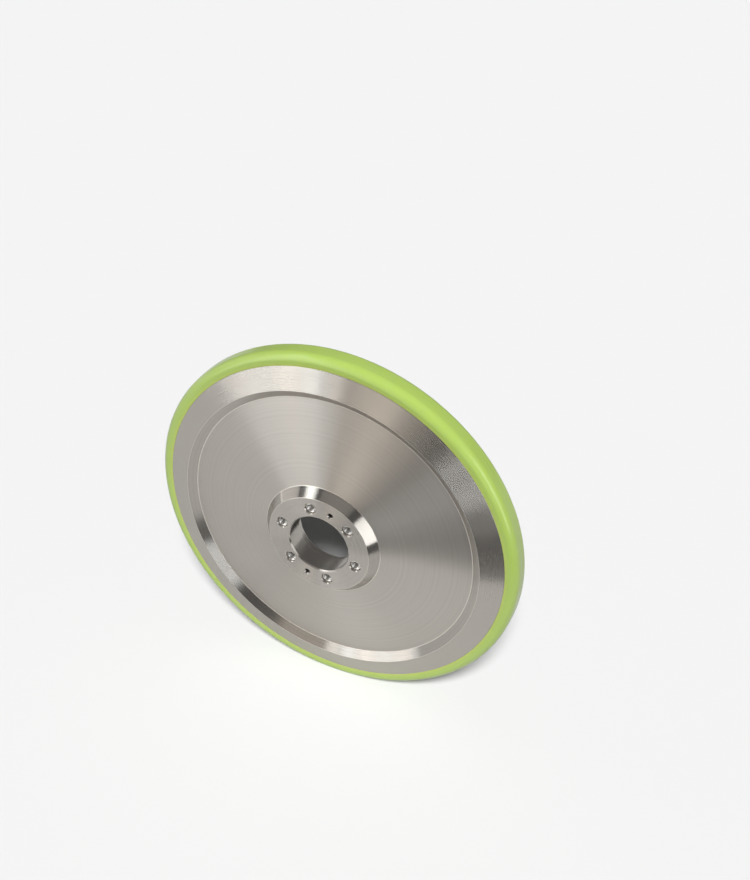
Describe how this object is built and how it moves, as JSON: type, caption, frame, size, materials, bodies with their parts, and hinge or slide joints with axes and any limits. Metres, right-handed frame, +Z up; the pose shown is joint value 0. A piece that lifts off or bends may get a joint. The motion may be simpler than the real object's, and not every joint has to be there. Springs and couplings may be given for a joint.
{
  "type": "tyred pulley",
  "caption": "Solid aluminium pulley with a coned web, a drilled screw-on hub and a cast polyurethane tyre that drives or carries a belt by friction.",
  "frame": {"origin": "centre of the wheel, on the axle and half way across the tyre", "axes": "+Y along the axle, away from the face with the screw holes; +Z up with the wheel standing on its tread"},
  "size_m": [0.338, 0.045, 0.338],
  "materials": {
    "turned_aluminium": "turned, fine concentric lines",
    "cast_polyurethane": "satin, slightly translucent",
    "insert_steel": "bright drawn wire"
  },
  "bodies": {
    "root": {"wheel_body": "turned_aluminium", "tyre": "cast_polyurethane", "thread_inserts": "insert_steel"}
  },
  "joints": []
}
